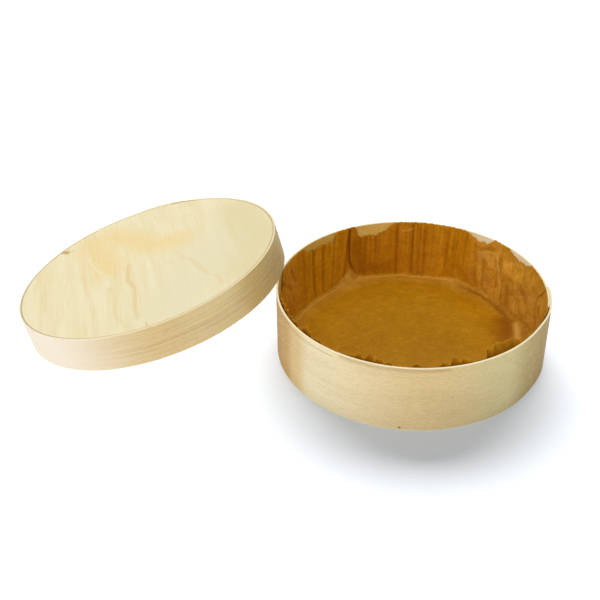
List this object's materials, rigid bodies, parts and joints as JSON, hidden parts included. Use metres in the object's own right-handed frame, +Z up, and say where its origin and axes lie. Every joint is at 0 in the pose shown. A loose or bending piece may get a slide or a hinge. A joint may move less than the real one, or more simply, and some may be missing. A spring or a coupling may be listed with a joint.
{
  "type": "round cheese box",
  "caption": "Round box of thin bent wood with a loose lid leaning on its rim and a pleated brown paper liner inside.",
  "frame": {"origin": "centre of the box's underside, on the surface that the box stands on", "axes": "+Z up along the box's axis, +X from the box's axis towards its glued lap, so that the lid leans on the -X side, and -Y towards the side that a viewer looks at"},
  "size_m": [0.3218, 0.1966, 0.0634],
  "materials": {
    "box_veneer": "bare sanded poplar veneer, grain along the strip",
    "floor_veneer": "bare sanded poplar, grain straight across",
    "brad_wire": "dull tarnished steel wire",
    "lid_veneer": "bare sanded poplar veneer, grain along the strip",
    "lid_face": "bare pale poplar with tan streaks and wavy figure",
    "brown_paper": "crimped brown greaseproof paper, slightly waxy"
  },
  "bodies": {
    "box": {"box_band": "box_veneer", "box_floor": "floor_veneer", "box_brads": "brad_wire"},
    "lid": {"lid_band": "lid_veneer", "lid_disc": "lid_face"},
    "liner": {"paper_liner": "brown_paper"}
  },
  "joints": [
    {"name": "lid_lift", "type": "slide", "parent": "box", "child": "lid", "axis": [0, 0, 1], "range_m": [0, 0.12]},
    {"name": "liner_lift", "type": "slide", "parent": "box", "child": "liner", "axis": [0, 0, 1], "range_m": [0, 0.08]}
  ]
}
